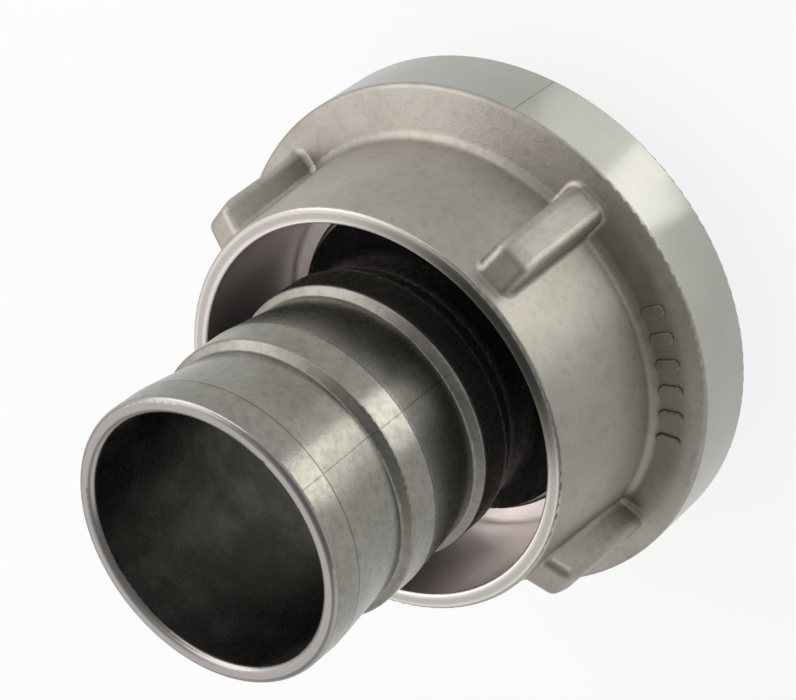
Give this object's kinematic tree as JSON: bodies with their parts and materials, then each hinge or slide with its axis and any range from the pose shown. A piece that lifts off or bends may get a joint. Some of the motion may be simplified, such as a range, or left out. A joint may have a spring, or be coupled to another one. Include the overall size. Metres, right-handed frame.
{
  "type": "quarter turn fire hose coupling",
  "caption": "Symmetrical hose coupling: a swivelling ring with two hooked claws, spanner lugs and a bell round a ridged hose tail with a face seal.",
  "frame": {"origin": "centre of the plane of the two claw tips, on which the coupling stands", "axes": "+Z along the waterway towards the mouth of the hose tail; the two claws lie on +X and -X"},
  "size_m": [0.098, 0.098, 0.1017],
  "materials": {
    "forged_alloy": "as forged with a fine grain; the outer band and front face are machined",
    "turned_alloy": "turned, satin to bright",
    "seal_rubber": "black, matte",
    "slide_plastic": "natural white acetal",
    "spring_steel": "drawn wire, dull"
  },
  "bodies": {
    "tail": {"hose_tail": "turned_alloy", "face_seal": "seal_rubber", "slide_ring": "slide_plastic", "snap_ring": "spring_steel"},
    "ring": {"coupling_ring": "forged_alloy"}
  },
  "joints": [
    {"name": "ring_swivel", "type": "hinge", "parent": "tail", "child": "ring", "pos_m": [0, 0, 0.02725], "axis": [0, 0, 1], "continuous": true}
  ]
}
